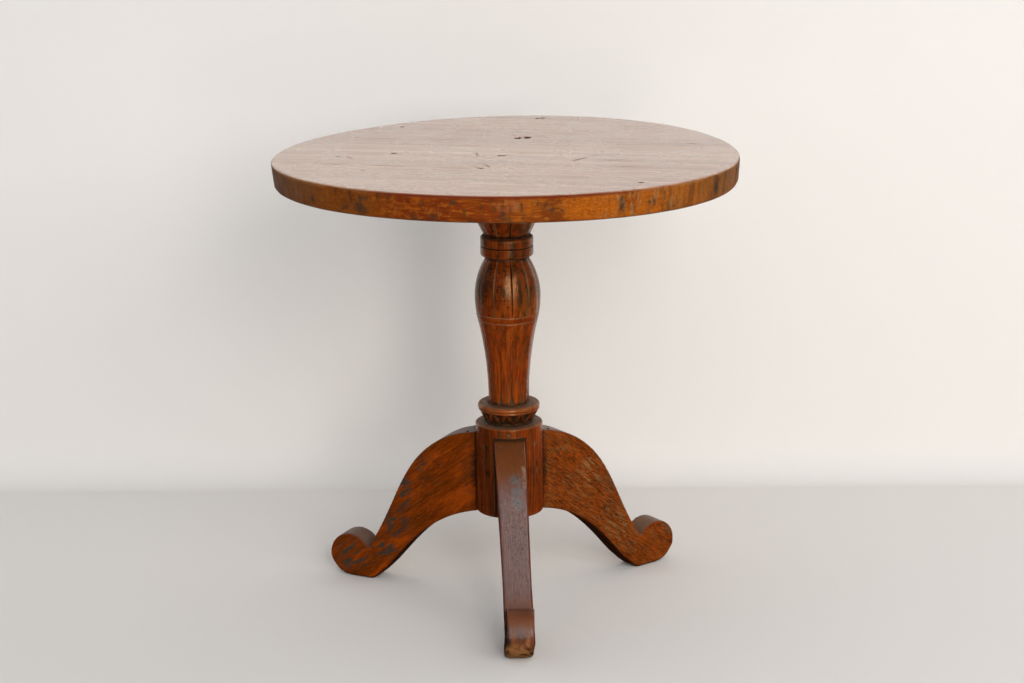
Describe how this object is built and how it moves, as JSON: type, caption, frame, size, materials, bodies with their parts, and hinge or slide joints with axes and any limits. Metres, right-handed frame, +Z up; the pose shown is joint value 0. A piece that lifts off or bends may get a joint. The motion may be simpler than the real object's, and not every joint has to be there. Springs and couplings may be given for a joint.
{
  "type": "wine table",
  "caption": "Round pedestal side table: thick plank top on a fluted vase column, with a carved ring and ogee legs that end in scroll feet.",
  "frame": {"origin": "on the floor, under the column's axis", "axes": "+Z up along the column, -Y towards the front leg's side, +X to the right as seen from there"},
  "size_m": [0.61, 0.6098, 0.615],
  "materials": {
    "top_teak": "old waxed teak, satin",
    "turned_teak": "turned and carved teak, varnished",
    "leg_teak": "sawn and planed teak, varnished",
    "bearer_teak": "planed teak, unfinished",
    "dowel_wood": "split hardwood, unfinished",
    "screw_steel": "dull steel",
    "nail_iron": "dark iron"
  },
  "bodies": {
    "root": {"top_board_front": "top_teak", "top_board_middle": "top_teak", "top_board_back": "top_teak", "board_dowels": "dowel_wood", "bearer": "bearer_teak", "bearer_screws": "screw_steel", "column": "turned_teak", "head_wedge": "dowel_wood", "foot_wedge": "dowel_wood", "base_block": "turned_teak", "leg_front": "leg_teak", "leg_right": "leg_teak", "leg_left": "leg_teak", "leg_nails": "nail_iron"}
  },
  "joints": []
}
